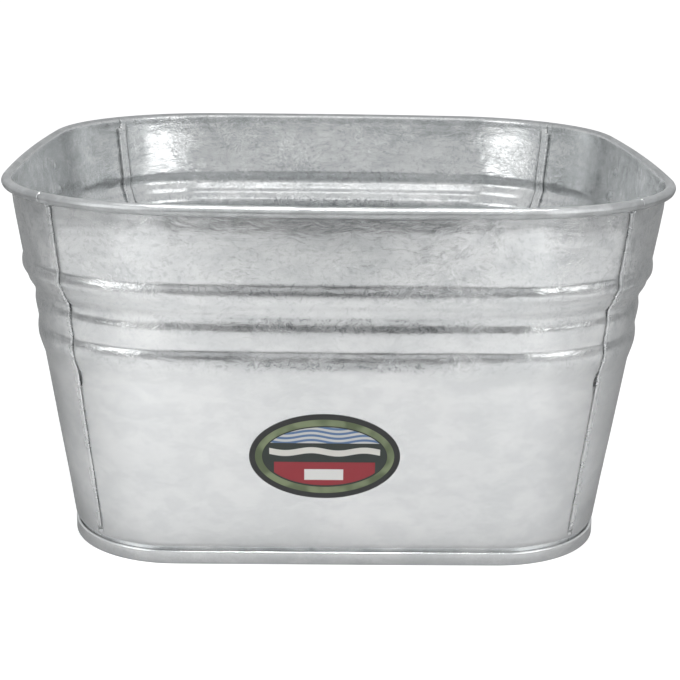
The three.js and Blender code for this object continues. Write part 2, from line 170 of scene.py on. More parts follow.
def floor_pool(name, x, y, width, watts):
    """A soft round pool of light on the floor in front of the tub, from a lamp just short of it."""
    data = bpy.data.lights.new(name, "SPOT")
    data.energy = watts
    data.spot_size = 2 * math.atan(width / 2 / POOL_LAMP_HEIGHT)
    data.spot_blend = 1.0
    data.shadow_soft_size = 0.2
    made = bpy.data.objects.new(name, data)
    made.location = (x, y - POOL_LAMP_BACK, POOL_LAMP_HEIGHT)
    made.rotation_euler = (math.atan(POOL_LAMP_BACK / POOL_LAMP_HEIGHT), 0, 0)
    scene.collection.objects.link(made)


floor_pool("pool_middle", 0, -0.33, 0.9, 125)
floor_pool("pool_left", -0.42, -0.72, 0.8, 210)
floor_pool("pool_right", 0.42, -0.72, 0.8, 210)
floor_pool("pool_near_left", -0.3, -0.34, 0.6, 75)
floor_pool("pool_near_right", 0.3, -0.34, 0.6, 45)
floor_pool("pool_far_left", -0.75, -0.25, 0.8, 140)
floor_pool("pool_far_right", 0.75, -0.25, 0.8, 120)

# ---- Wall panels ----
# Four pieces of 0.6 mm steel, each one side and half of its two corners. Two swages are rolled into
# them, their ends are hooked together in a lock seam down the middle of each corner, their top edge
# is rolled over a wire, and the whole tub is then dipped in molten zinc.
SHEET = 0.6
CORNER_MIDDLE = math.pi / 4
# The wall's plan is a rounded square whose sides are slightly bowed, by an angle in degrees. All of
# it grows with height
BASE_HALF_WIDTH, WALL_LEAN = 208.2, 0.1634
BASE_CORNER, CORNER_GROWTH = 84.5, 0.1934
BASE_BOW, BOW_GROWTH = 0.3, 0.0115
# The foot stands in the chime, and the top is rolled round the rim wire
CHIME_WALL = 207.7
CHIME_TOP, FLARE_TOP = 10.9, 17
RIM_ROLL_CENTRE = 258.95
RIM_ROLL_HEIGHT = 282.95
RIM_ROLL_RADIUS = 3.75
RIM_ROLL_FLATS = 0.09
RIM_ROLL_STEPS = 56
SEAM_BOTTOM, SEAM_TOP = 20, 277
SEAM_RAMP = 6.6
BUTT_GAP = 0.15
# Heights of the swaged edges and crests, where the seams pucker and where a dark reflection is
# painted into the zinc
LOWER_FOOT, LOWER_CREST, VALLEY = 146, 166, 196
UPPER_FOOT, UPPER_STEP, UPPER_CREST = 202, 211, 222.2
BAND_FOOT, BAND_HEAD = 229.2, 272
# Outside of the wall at the middle of a side, as (height, half-width)
WALL_PROFILE = (
    (17, 211), (20, 211.5), (150, 232.7), (158.5, 235.5), (164, 237.1), (168.5, 237.6),
    (172.5, 237.5), (177, 236.8), (188, 238.8), (192, 239.3), (197.5, 238.9), (201.8, 239.4),
    (205, 241.3), (209, 244), (212.6, 245.1), (218.8, 248.7), (223, 248.9), (228.6, 248.1),
    (230.2, 248.5), (250, 251.9), (268, 254.7), (279, 255.6), (281, 255.5),
)


def half_width(height):
    """Half the width of the plain cone that the wall's profile is laid on."""
    return BASE_HALF_WIDTH + WALL_LEAN * height


def corner_radius(height):
    return BASE_CORNER + CORNER_GROWTH * height


def side_turn(height):
    """The angle through which half of a side bows before its corner begins."""
    return math.radians(BASE_BOW + BOW_GROWTH * height)


def side_beyond(height):
    """How much larger the radius of a side's bow is than its corner's."""
    turn = side_turn(height)
    return (half_width(height) - corner_radius(height)) / (math.sin(turn) + 1 - math.cos(turn))


def plan_point(height, angle, outward):
    """A point of the +X side's plan where the wall faces angle, moved outwards from the cone."""
    corner = corner_radius(height)
    beyond = side_beyond(height)
    if abs(angle) <= side_turn(height):
        reach = beyond + corner + outward
        middle = half_width(height) - beyond - corner
        return middle + reach * math.cos(angle), reach * math.sin(angle)
    centre = beyond * math.sin(side_turn(height))
    reach = corner + outward
    return (
        centre + reach * math.cos(angle),
        math.copysign(centre, angle) + reach * math.sin(angle),
    )


def spread_angle(share, straight_share, turn, end):
    """The direction at a share, -1 to 1, of a side: turn at straight_share and end at its seam."""
    if abs(share) < straight_share:
        return turn * share / straight_share
    bend = (abs(share) - straight_share) / (1 - straight_share)
    return math.copysign(turn + (end - turn) * bend, share)


def seam_angle(height, past):
    """The wall's direction at a distance past the middle of the corner."""
    return CORNER_MIDDLE + past / corner_radius(height)


def profile_half(height):
    """The wall's half-width, with its bends eased over a few millimetres."""
    def straight(level):
        for (low, half_low), (high, half_high) in zip(WALL_PROFILE, WALL_PROFILE[1:]):
            if level <= high:
                share = (max(level, low) - low) / (high - low)
                return half_low + (half_high - half_low) * share
        return WALL_PROFILE[-1][1]

    ease = 1.3
    levels = [height + ease * (i / 3 - 1) for i in range(7)]
    return sum(straight(level) for level in levels) / len(levels)


def bump(value, centre, width):
    """1 at the centre, fading smoothly to 0 beyond the width on both sides."""
    return math.exp(-(((value - centre) / width) ** 2))


def step(value, low, high):
    """0 up to low, 1 from high on, and smooth between them."""
    share = min(max((value - low) / (high - low), 0), 1)
    return share * share * (3 - 2 * share)


def unevenness(x, y, height):
    """How far hand-worked sheet stands in or out of its true shape, in mm."""
    free = step(height, 14, 60) * (1 - step(height, 262, 272))
    broad = noise.noise(Vector((x, y, height * 1.1)) / 95)
    middle = noise.noise(Vector((x + 300, y, height * 1.6)) / 34)
    ripple = noise.noise(Vector((x, y + 500, height * 2.4)) / 13)
    worked = bump(height, 217, 16) + bump(height, 170, 9) + bump(height, 198, 7)
    return free * (0.42 * broad + 0.1 * middle + ripple * (0.02 + 0.06 * worked))


def grid_of(columns, rows, place):
    """A bmesh grid whose vertex at each column and row is moved to place(column, row)."""
    made = bmesh.new()
    bmesh.ops.create_grid(made, x_segments=columns - 1, y_segments=rows - 1, size=1)
    for vert in made.verts:
        column = round((vert.co.x + 1) / 2 * (columns - 1))
        row = round((vert.co.y + 1) / 2 * (rows - 1))
        vert.co = place(column, row)
        vert.index = row * columns + column
    made.verts.sort()
    return made


def rounded(path, radius, steps=4):
    """A path of points with each inner corner turned into an arc."""
    result = [Vector(path[0])]
    for before, at, after in zip(path, path[1:], path[2:]):
        before, at, after = Vector(before), Vector(at), Vector(after)
        back, on = (before - at).normalized(), (after - at).normalized()
        half_angle = back.angle(on) / 2
        room = min((before - at).length, (after - at).length) / 2
        reach = min(radius / math.tan(half_angle), room)
        start, end = at + back * reach, at + on * reach
        for i in range(steps + 1):
            share = i / steps
            curve = start.lerp(at, share).lerp(at.lerp(end, share), share)
            result.append(curve)
    result.append(Vector(path[-1]))
    return result


# Rows of the panel from the hook in the chime to the end of the rolled rim, close together at the
# beads: (height the plan is taken at, half-width, height, how far the seam is set, hooked or not)
BEADS_FOOT, BEADS_HEAD = 147.5, 232.9
panel_rows = []
chime_hook = [(1.5, 8.5), (1.5, 1.2), (-0.3, 1.2), (-0.3, 10.9)]
for outward, height in rounded(chime_hook, 0.7):
    panel_rows.append((0, CHIME_WALL + outward, height, 0, False))
levels = [13, 15, 17, 18.2, 19.2]
levels += [20 + 2.5 * i for i in range(51)]
levels += [BEADS_FOOT + 1.22 * i for i in range(1, 71)]
levels += [BEADS_HEAD + 1.95 * i for i in range(1, 22)] + [275.4, 276.6, 277.6, 278.6, 279.6, 281]
for height in levels:
    set_share = step(height, 17, 19.2) * (1 - step(height, 276.2, 280))
    half = profile_half(height) - SHEET / 2
    flared = step(height, CHIME_TOP, FLARE_TOP)
    half += (CHIME_WALL - SHEET / 2 - half) * (1 - flared)
    hooked = SEAM_BOTTOM <= height <= SEAM_TOP
    panel_rows.append((height * flared, half, height, set_share, hooked))
roll_foot_row = len(panel_rows)
for i in range(RIM_ROLL_STEPS + 1):
    angle = math.pi - math.radians(300) * i / RIM_ROLL_STEPS
    radius = RIM_ROLL_RADIUS - RIM_ROLL_FLATS * math.sin(4 * angle) ** 2
    panel_rows.append((
        RIM_ROLL_HEIGHT,
        RIM_ROLL_CENTRE + radius * math.cos(angle),
        RIM_ROLL_HEIGHT + radius * math.sin(angle),
        0,
        False,
    ))


def seam_section(flat, fold_past, hook):
    """Across one end of a panel: (distance past the corner, offset of the sheet's middle)."""
    section = [(-6.2, 0.1 * flat), (-5.8, 0.4 * flat), (-5.4, 0.75 * flat), (-4.9, flat)]
    section += [(-4.5, flat), (-4, flat), (-3, flat), (-1.5, flat), (-BUTT_GAP, flat)]
    section += [(1.2, flat), (fold_past, flat)]
    middle = (flat + hook) / 2
    radius = abs(flat - hook) / 2
    for i in range(1, 7):
        angle = math.pi * i / 7
        swing = math.cos(angle) * (flat - middle)
        section.append((fold_past + radius * math.sin(angle), middle + swing))
    section += [(fold_past, hook), (1, hook), (-0.8, hook), (-2.5, hook)]
    return section


UNDER_SEAM = seam_section(-2.5, 2.4, -0.7)
OVER_SEAM = seam_section(0.2, 3.0, -1.6)
SIDE_COLUMNS = 121
SIDE_STRAIGHT_SHARE = 0.58
BUTT_INDEX = 8
BUTT_GAP_UNHOOKED = 0.01


def wall_point(quarter, height, half, plan, angle, extra):
    """A point of the wall in the tub's own axes, in mm, with its unevenness."""
    turn = Matrix.Rotation(quarter * math.pi / 2, 2)
    flat = turn @ Vector(plan_point(plan, angle, 0))
    outward = half - half_width(plan) + extra + unevenness(flat.x, flat.y, height)
    flat = turn @ Vector(plan_point(plan, angle, outward))
    return Vector((flat.x, flat.y, height))


def crinkle_at(height):
    """How finely wrinkled the sheet is: most in the beads and in the band above them."""
    worked = 0.75 * step(height, 226, 236)
    worked += bump(height, 223, 7) + bump(height, 198, 7) + bump(height, 169, 6)
    worked += 0.3 * step(height, 150, 175)
    return min(0.1 + worked, 1)


def painted_reflection_at(height, share):
    """Dark reflection painted into the zinc: along the beads, and most in the middle of a side."""
    rolled = 0.75 * bump(height, UPPER_CREST, 3) + 0.9 * bump(height, BAND_FOOT, 1)
    rolled += bump(height, UPPER_FOOT, 1.6) + bump(height, VALLEY, 3.6)
    rolled += bump(height, LOWER_CREST, 3.6)
    rolled *= 1 - step(abs(share), 0.22, 0.52)
    return rolled + 0.34 * bump(height, UPPER_STEP, 1.9)


def pucker_at(height, past):
    """How dark the small puckers are, where the beads and the band's edges meet a seam."""
    shade = bump(height, LOWER_FOOT, 6) * bump(past, -6, 2.5)
    shade += bump(height, UPPER_FOOT, 4.5) * bump(past, -5.2, 1.6)
    band_edges = bump(height, BAND_HEAD, 2) + bump(height, BAND_FOOT + 2.8, 1.6)
    return shade + band_edges * bump(past, -5, 1.1)


def thicken(piece, name, thickness):
    """Gives a piece made as one surface its thickness, half of it to each side."""
    wall = piece.modifiers.new(name, "SOLIDIFY")
    wall.thickness = thickness * MM
    wall.offset = 0


def wall_panel(name, quarter, seam, material):
    """One side from seam to seam, with vertex layers for its zinc, one a painted reflection."""
    count = SIDE_COLUMNS + 2 * len(seam)
    under = seam is UNDER_SEAM

    def side_share(column):
        """How far across its side a column is, -1 to 1 between the seams."""
        return (column - len(seam)) / (SIDE_COLUMNS - 1) * 2 - 1

    def across(column):
        """Which seam point a column is, if any, and which end of the panel it is on."""
        if column < len(seam):
            return len(seam) - 1 - column, -1
        if column >= count - len(seam):
            return column - (count - len(seam)), 1
        return None, 0

    def place(column, row):
        plan, half, height, set_share, hooked = panel_rows[row]
        index, end = across(column)
        if index is None:
            ramp = seam_angle(plan, -SEAM_RAMP)
            angle = spread_angle(side_share(column), SIDE_STRAIGHT_SHARE, side_turn(plan), ramp)
            past = (abs(angle) - CORNER_MIDDLE) * corner_radius(plan)
            extra = 0
        else:
            past, offset = seam[index]
            if index == BUTT_INDEX and not hooked:
                past = -BUTT_GAP_UNHOOKED
            angle = end * seam_angle(plan, past)
            extra = offset * set_share
        if under and past < -2.6 and (index is None or index <= BUTT_INDEX):
            dent = bump(past, -6, 2.2)
            extra -= 1.9 * dent * bump(height, LOWER_FOOT, 6.5)
            extra -= 0.8 * dent * bump(height, UPPER_FOOT + 1, 4)
        return wall_point(quarter, height, half, plan, angle, extra)

    made = grid_of(count, len(panel_rows), place)
    crinkle = made.verts.layers.float.new("crinkle")
    crevice = made.verts.layers.float.new("crevice")
    # A layer for the dark reflection painted into the zinc along the beads
    painted_dark_reflection = made.verts.layers.float.new("painted_dark_reflection")
    handled = made.verts.layers.float.new("handled")
    for vert in made.verts:
        row, column = divmod(vert.index, count)
        _, _, height, set_share, _ = panel_rows[row]
        vert[crinkle] = crinkle_at(height)
        vert[painted_dark_reflection] = painted_reflection_at(height, side_share(column))
        vert[handled] = min(max((row - roll_foot_row - 4) / 4, 0), 1)
        index, _ = across(column)
        shade = 0
        if index is not None and index > BUTT_INDEX:
            shade = 0.35 * set_share
        elif index is not None and under:
            shade = bump(seam[index][0], -5, 0.7) * set_share
        if index is not None and under:
            shade += pucker_at(height, seam[index][0])
        vert[crevice] = min(shade, 1)
    # Beyond the butt the sheet goes on only where the two panels are hooked together
    loose = []
    made.faces.ensure_lookup_table()
    for face in made.faces:
        corners = [divmod(vert.index, count) for vert in face.verts]
        seam_indices = [across(column)[0] for _, column in corners]
        beyond = any(index is not None and index > BUTT_INDEX for index in seam_indices)
        hooked = all(panel_rows[row][-1] for row, _ in corners)
        if beyond and not hooked:
            loose.append(face)
    bmesh.ops.delete(made, geom=loose, context="FACES")
    panel = finished_object(name, made, material)
    thicken(panel, "sheet thickness", SHEET)
    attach(panel, "tub")
    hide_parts(name.removesuffix("_sheet"))


def new_group(name, inputs, outputs):
    """A shader node group with float, vector or colour sockets."""
    kinds = {"float": "NodeSocketFloat", "vector": "NodeSocketVector", "color": "NodeSocketColor"}
    group = bpy.data.node_groups.new(name, "ShaderNodeTree")
    for socket, kind in inputs.items():
        group.interface.new_socket(socket, in_out="INPUT", socket_type=kinds[kind])
    for socket, kind in outputs.items():
        group.interface.new_socket(socket, in_out="OUTPUT", socket_type=kinds[kind])
    return group, group.nodes.new("NodeGroupInput").outputs


def math_node(tree, operation, first, second=0.0, third=0.0):
    inputs = {0: first, 1: second, 2: third}
    return node(tree, "ShaderNodeMath", inputs, operation=operation).outputs[0]


def remap(tree, value, low, high, to_low=0.0, to_high=1.0):
    """Turns values from low to high into values from to_low to to_high, eased at both ends."""
    return node(tree, "ShaderNodeMapRange", {
        "Value": value, "From Min": low, "From Max": high, "To Min": to_low, "To Max": to_high,
    }, interpolation_type="SMOOTHSTEP").outputs[0]


def noise_node(tree, vector, scale, detail, **inputs):
    """The noise texture; its Factor is output 0 and its Color output 1."""
    inputs = {"Vector": vector, "Scale": scale, "Detail": detail, **inputs}
    return node(tree, "ShaderNodeTexNoise", inputs)


def scaled(tree, vector, scale):
    return node(tree, "ShaderNodeMapping", {"Vector": vector, "Scale": scale}).outputs[0]


# Dipped zinc cools in broad cloudy patches with small flecks, some whiter and duller than others
zinc_bloom, given = new_group(
    "zinc bloom",
    {"Vector": "vector", "Patch Size": "float", "Flecks": "float"},
    {"Tone": "float", "Dullness": "float", "Spots": "float"},
)
tree = zinc_bloom
stretched = scaled(tree, given["Vector"], (1, 1, 1.7))
clouds = noise_node(
    tree, stretched, given["Patch Size"], 5.0, Roughness=0.6, Distortion=0.4
).outputs[0]
mottle = noise_node(
    tree, scaled(tree, given["Vector"], (1, 1, 1.6)), 60.0, 4.0, Roughness=0.6
).outputs[0]
fleck = node(tree, "ShaderNodeTexVoronoi", {
    "Vector": given["Vector"], "Scale": 420.0, "Randomness": 1.0,
}, feature="SMOOTH_F1").outputs["Color"]
fleck_tone = node(tree, "ShaderNodeSeparateColor", {"Color": fleck}).outputs[0]
spot_size = math_node(tree, "MULTIPLY", given["Patch Size"], 3.4)
spots = noise_node(tree, stretched, spot_size, 6.0, Roughness=0.62, Distortion=0.3).outputs[0]
tone = math_node(tree, "MULTIPLY", mottle, 0.12)
tone = math_node(tree, "MULTIPLY_ADD", remap(tree, clouds, 0.3, 0.7), 0.4, tone)
tone = math_node(tree, "MULTIPLY_ADD", remap(tree, spots, 0.38, 0.62), 0.48, tone)
fleck_share = math_node(tree, "SUBTRACT", fleck_tone, 0.5)
tone = math_node(tree, "MULTIPLY_ADD", fleck_share, given["Flecks"], tone)
dullness = math_node(tree, "ADD", mottle, math_node(tree, "MULTIPLY", clouds, 0.5))
dullness = remap(tree, dullness, 0.5, 1.0)
node(tree, "NodeGroupOutput", {"Tone": tone, "Dullness": dullness, "Spots": spots})

# Fine wavy wrinkles lie along the sheet where it has been rolled and stretched, with clusters of
# small pale lumps of dross and dark specks between them
sheet_crinkle, given = new_group(
    "sheet crinkle",
    {"Vector": "vector", "Amount": "float"},
    {"Height": "float", "Dark Specks": "float", "Pale Specks": "float"},
)
tree = sheet_crinkle
warp = noise_node(tree, given["Vector"], 24.0, 2.0).outputs["Color"]
bent = node(tree, "ShaderNodeVectorMath", {
    0: warp, 1: (0.03, 0.03, 0.016), 2: given["Vector"],
}, operation="MULTIPLY_ADD").outputs[0]
wrinkles = noise_node(
    tree, scaled(tree, bent, (1, 1, 3.2)), 75.0, 3.0, Roughness=0.5, Distortion=0.6
).outputs[0]
grain = noise_node(tree, given["Vector"], 520.0, 2.0).outputs[0]
dross = noise_node(tree, bent, 260.0, 4.0, Roughness=0.65, Distortion=0.9).outputs[0]
clusters = noise_node(tree, given["Vector"], 30.0, 2.0).outputs[0]
clusters = remap(tree, clusters, 0.46, 0.6, 0.08, 1.0)
lumps = math_node(tree, "MULTIPLY", math_node(tree, "MULTIPLY", dross, 0.6), clusters)
dark_specks = remap(tree, dross, 0.52, 0.62)
pale_specks = math_node(tree, "MULTIPLY", remap(tree, dross, 0.46, 0.36), clusters)
wrinkles = math_node(tree, "MULTIPLY_ADD", wrinkles, 0.4, lumps)
height = math_node(tree, "MULTIPLY", wrinkles, given["Amount"])
height = math_node(tree, "MULTIPLY_ADD", grain, 0.02, height)
node(tree, "NodeGroupOutput", {
    "Height": height, "Dark Specks": dark_specks, "Pale Specks": pale_specks,
})


def group_node(tree, group, inputs):
    return node(tree, "ShaderNodeGroup", inputs, node_tree=group)


def mixed(tree, share, first, second):
    """A colour between two others. The Mix node's colour sockets share their names with its other
    kinds, so they are found by number."""
    inputs = {0: share, 6: first, 7: second}
    return node(tree, "ShaderNodeMix", inputs, data_type="RGBA", clamp_factor=True).outputs[2]


def marked(tree, name):
    """The value of a vertex layer of the mesh."""
    return node(tree, "ShaderNodeAttribute", attribute_name=name).outputs["Fac"]


def relief_of(tree, height, strength, distance):
    """A surface normal tilted by a height; distance is in metres."""
    inputs = {"Height": height, "Strength": strength, "Distance": distance}
    return node(tree, "ShaderNodeBump", inputs).outputs[0]


sheet_zinc, tree = new_material("dipped zinc on sheet")
place = node(tree, "ShaderNodeTexCoord").outputs["Object"]
crinkled = marked(tree, "crinkle")
creviced = marked(tree, "crevice")
handled = marked(tree, "handled")
bloom = group_node(tree, zinc_bloom, {"Vector": place, "Patch Size": 13.0, "Flecks": 0.03})
color = mixed(tree, bloom.outputs["Tone"], (0.74, 0.755, 0.76, 1), (0.88, 0.885, 0.885, 1))
# Darker zinc where the sheet is wrinkled, partly for its real dull wrinkles and partly as
# painted shade in the band under the rim and along the beads
wrinkled_and_shaded_color = mixed(tree, bloom.outputs["Tone"], (0.62, 0.64, 0.645, 1), (0.86, 0.87, 0.87, 1))
color = mixed(tree, math_node(tree, "MULTIPLY", crinkled, 0.75), color, wrinkled_and_shaded_color)
ripples = group_node(tree, sheet_crinkle, {"Vector": place, "Amount": crinkled})
# Painted dark reflection along the beads, mottled, plus the wrinkles' real dark specks
reflection_mottle = remap(tree, bloom.outputs["Spots"], 0.42, 0.55, 0.3, 1.0)
reflection_mottle = math_node(tree, "MULTIPLY_ADD", ripples.outputs["Dark Specks"], 0.6, reflection_mottle)
darkened = math_node(tree, "MULTIPLY", marked(tree, "painted_dark_reflection"), reflection_mottle)
darkened = math_node(tree, "MULTIPLY", darkened, 0.6)
specks = math_node(tree, "MULTIPLY", ripples.outputs["Dark Specks"], crinkled)
darkened = math_node(tree, "MULTIPLY_ADD", specks, 0.26, darkened)
color = mixed(tree, darkened, color, (0.34, 0.352, 0.36, 1))
pale = math_node(tree, "MULTIPLY", ripples.outputs["Pale Specks"], crinkled)
color = mixed(tree, math_node(tree, "MULTIPLY", pale, 0.5), color, (0.95, 0.955, 0.955, 1))
color = mixed(tree, remap(tree, creviced, 0.15, 1, 0, 0.8), color, (0.1, 0.105, 0.11, 1))
worn = remap(tree, bloom.outputs["Spots"], 0.4, 0.6, 0.55, 0.9)
worn = math_node(tree, "MULTIPLY", handled, worn)
color = mixed(tree, worn, color, (0.42, 0.43, 0.435, 1))
rough = remap(tree, bloom.outputs["Dullness"], 0, 1, 0.15, 0.27)
rough = math_node(tree, "MULTIPLY_ADD", creviced, 0.2, rough)
rough = math_node(tree, "MULTIPLY_ADD", handled, 0.16, rough)
relief = relief_of(tree, ripples.outputs["Height"], 0.8, 0.0008)
surface(tree, {"Base Color": color, "Metallic": 0.93, "Roughness": rough, "Normal": relief})

# Each stands at a quarter turn from +X. The front and rear ones go in under the ends of the others
wall_panel("right_panel_sheet", 0, OVER_SEAM, sheet_zinc)
wall_panel("rear_panel_sheet", 1, UNDER_SEAM, sheet_zinc)
wall_panel("left_panel_sheet", 2, OVER_SEAM, sheet_zinc)
wall_panel("front_panel_sheet", 3, UNDER_SEAM, sheet_zinc)

# ---- Bottom pan ----
# One pressed sheet. Its edge goes down inside the walls, out under them and up round the hook on
# their foot, and is rolled flat against them, which leaves the ring that the tub stands on.
FLOOR_TOP = 7
FLOOR_CROWN = 0.9
CHIME_HEIGHT = 10.6
FLOOR_RINGS = 46
PAN_COLUMNS = 360
PAN_STRAIGHT_SHARE = 0.55
# The middle of the pan's sheet, from its flat edge out round the walls' hook, as (out, up)
pan_leg = CHIME_WALL - 1.2
pan_rim = CHIME_WALL + 2.4
pan_hook = CHIME_WALL + 0.6
pan_edge = rounded([
    (pan_leg - 26, FLOOR_TOP - SHEET / 2), (pan_leg, FLOOR_TOP - SHEET / 2), (pan_leg, SHEET / 2),
    (pan_rim, SHEET / 2), (pan_rim, CHIME_HEIGHT - SHEET / 2), (pan_hook, CHIME_HEIGHT - SHEET / 2),
    (pan_hook, 3.3),
], 0.9)


def pan_point(column, row):
    """A point of the pan: column goes round it, and row from its middle out and round its edge."""
    quarter, within = divmod(column % PAN_COLUMNS, PAN_COLUMNS // 4)
    share = within / (PAN_COLUMNS // 4) * 2 - 1
    turn = Matrix.Rotation(quarter * math.pi / 2, 2)
    angle = spread_angle(share, PAN_STRAIGHT_SHARE, side_turn(0), CORNER_MIDDLE)
    ring = row - FLOOR_RINGS
    outward, height = pan_edge[max(ring, 0)]
    flat = turn @ Vector(plan_point(0, angle, outward - BASE_HALF_WIDTH))
    if ring < 0:
        shrink = (row + 0.35) / (FLOOR_RINGS + 0.35)
        flat *= shrink
        crown = (1 - shrink) * FLOOR_CROWN
        height += crown + 0.35 * (1 - shrink**6) * noise.noise(Vector((flat.x, flat.y, 0)) / 70)
    elif height > 1.5 and outward > CHIME_WALL + 2:
        press = noise.noise(Vector((flat.x, flat.y, height)) / 9)
        flat *= 1 - 0.0009 * abs(press)
    return Vector((flat.x, flat.y, height))


bm = grid_of(PAN_COLUMNS + 1, FLOOR_RINGS + len(pan_edge), pan_point)
bmesh.ops.remove_doubles(bm, verts=bm.verts, dist=0.001)
middle_ring = [edge for edge in bm.edges if edge.is_boundary and edge.verts[0].co.xy.length < 20]
middle_face = bmesh.ops.contextual_create(bm, geom=middle_ring)["faces"]
bmesh.ops.poke(bm, faces=middle_face)
bmesh.ops.recalc_face_normals(bm, faces=bm.faces)
# The pan has its wrinkles but no darker seams, painted dark reflection or handled rim
for name, value in (("crinkle", 0.3), ("crevice", 0.0), ("painted_dark_reflection", 0.0), ("handled", 0.0)):
    layer = bm.verts.layers.float.new(name)
    for vert in bm.verts:
        vert[layer] = value
pan = finished_object("bottom_pan_sheet", bm, sheet_zinc)
thicken(pan, "sheet thickness", SHEET)
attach(pan, "tub")
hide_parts("bottom_pan")

# ---- Rim wire ----
# A ring of steel wire inside the rolled rim. Only its underside can be seen, through the gap where
# the roll ends, so it stays as it is and gets the zinc of the wire work.
wire_zinc, tree = new_material("dipped zinc on wire")
place = node(tree, "ShaderNodeTexCoord").outputs["Object"]
bloom = group_node(tree, zinc_bloom, {"Vector": place, "Patch Size": 40.0, "Flecks": 0.16})
color = mixed(tree, bloom.outputs["Tone"], (0.42, 0.44, 0.455, 1), (0.68, 0.69, 0.7, 1))
rough = remap(tree, bloom.outputs["Dullness"], 0, 1, 0.34, 0.55)
ripples = group_node(tree, sheet_crinkle, {"Vector": place, "Amount": 0.6})
relief = relief_of(tree, ripples.outputs["Height"], 0.8, 0.0006)
surface(tree, {"Base Color": color, "Metallic": 0.93, "Roughness": rough, "Normal": relief})
rim_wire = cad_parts["rim_wire"]
rim_wire.data.materials.clear()
rim_wire.data.materials.append(wire_zinc)

# ---- Bails ----
# Each handle is one piece of 6 mm wire: two pins turned outwards into the ears, two legs, and a
# straight grip between rounded corners. It hangs down on its pins, and was dipped with the tub.
PIVOT_OUT = 254.747
PIVOT_HEIGHT = 249.376
BAIL_RADIUS = 2.95
BAIL_SIDES = 20
PIN_END, PIN_FOOT, PIN_BEND = 79, 61.5, 5.5
BAIL_LEG, BAIL_LEG_TOP, BAIL_DROP, BAIL_CORNER = 56, -6, -58, 20
# The bends of one half, as (across and up from the pivot, radius)
half_bail = [
    (PIN_FOOT, 0, PIN_BEND), (BAIL_LEG, BAIL_LEG_TOP, PIN_BEND), (BAIL_LEG, BAIL_DROP, BAIL_CORNER),
]


def bail_line():
    """The bail's middle line, as points across and up from its pivot, at most about 2 mm apart."""
    bends = [(-across, up, radius) for across, up, radius in half_bail] + half_bail[::-1]
    corners = [Vector((-PIN_END, 0))] + [Vector(bend[:2]) for bend in bends]
    corners.append(Vector((PIN_END, 0)))
    radii = [bend[2] for bend in bends]
    line = [corners[0]]
    for before, at, after, radius in zip(corners, corners[1:], corners[2:], radii):
        back, on = (before - at).normalized(), (after - at).normalized()
        reach = min(
            radius / math.tan(back.angle(on) / 2), (before - at).length, (after - at).length
        )
        start, end = at + back * reach, at + on * reach
        shares = [i / 10 for i in range(11)]
        line += [start.lerp(at, share).lerp(at.lerp(end, share), share) for share in shares]
    line.append(corners[-1])
    dense = [line[0]]
    for before, after in zip(line, line[1:]):
        pieces = max(1, round((after - before).length / 2))
        dense += [before.lerp(after, (i + 1) / pieces) for i in range(pieces)]
    apart = [at for before, at in zip(dense, dense[1:]) if (at - before).length > 1e-4]
    return [dense[0]] + apart


line = bail_line()


def bail_point(side, column, row):
    """A point of the wire's skin: column goes round the wire and row goes along it."""
    angle = 2 * math.pi * (column % BAIL_SIDES) / BAIL_SIDES
    ahead = line[min(row + 1, len(line) - 1)] - line[max(row - 1, 0)]
    ahead.normalize()
    across = Vector((-ahead.y, ahead.x))
    lump = noise.noise(Vector((line[row].x, line[row].y, 40 * side + 3 * math.cos(angle))) / 9)
    radius = BAIL_RADIUS * (0.985 + 0.015 * lump)
    if row in (0, len(line) - 1):
        radius -= 0.7
    spot = line[row] + across * radius * math.sin(angle)
    return Vector((side * (PIVOT_OUT + radius * math.cos(angle)), spot.x, PIVOT_HEIGHT + spot.y))


for name, side in (("left_bail", -1), ("right_bail", 1)):
    bm = grid_of(BAIL_SIDES + 1, len(line), lambda column, row: bail_point(side, column, row))
    bmesh.ops.remove_doubles(bm, verts=bm.verts, dist=0.001)
    bmesh.ops.holes_fill(bm, edges=[edge for edge in bm.edges if edge.is_boundary], sides=0)
    bmesh.ops.recalc_face_normals(bm, faces=bm.faces)
    wire = finished_object(f"{name}_wire", bm, wire_zinc)
    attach(wire, name.replace("bail", "handle"))
    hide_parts(name)

# ---- Ears ----
# Each ear is a short strap of 1.2 mm steel, pressed into a half-round channel over the bail's pin
# with a rounded foot above and below it that lies on the wall.
EAR_ALONG = 69
EAR_HEIGHT = 250
EAR_WALL = 252.188
EAR_LEAN = math.atan2(7, 37.5)
EAR_HALF_WIDTH, EAR_HALF_TALL = 7, 17
EAR_COLUMNS = 15
EAR_SHEET = 1.2
FOOT_OUT = 0.9
CHANNEL_OUT, CHANNEL_RADIUS = 3.4, 3.9
# The middle of the strap from its lower end to its upper end, as (out, up)
foot = [EAR_HALF_TALL - at for at in (0, 0.3, 0.9, 1.7, 2.6, 3.7, 4.9, 6.1, 7.5, 9.1, 10.6)]
channel = [(FOOT_OUT, -foot[-1]), (FOOT_OUT, -4.1), (3.0, -3.85)]
for i in range(1, 12):
    angle = math.pi * (i / 12 - 0.5)
    out = CHANNEL_OUT + CHANNEL_RADIUS * math.cos(angle)
    channel.append((out, CHANNEL_RADIUS * math.sin(angle)))
channel += [(3.0, 3.85), (FOOT_OUT, 4.1), (FOOT_OUT, foot[-1])]
ear_line = [Vector((FOOT_OUT, -up)) for up in foot]
ear_line += rounded(channel, 0.8, 2)[1:-1]
ear_line += [Vector((FOOT_OUT, up)) for up in reversed(foot)]
ear_zinc, tree = new_material("dipped zinc on pressed strap")
place = node(tree, "ShaderNodeTexCoord").outputs["Object"]
bloom = group_node(tree, zinc_bloom, {"Vector": place, "Patch Size": 55.0, "Flecks": 0.2})
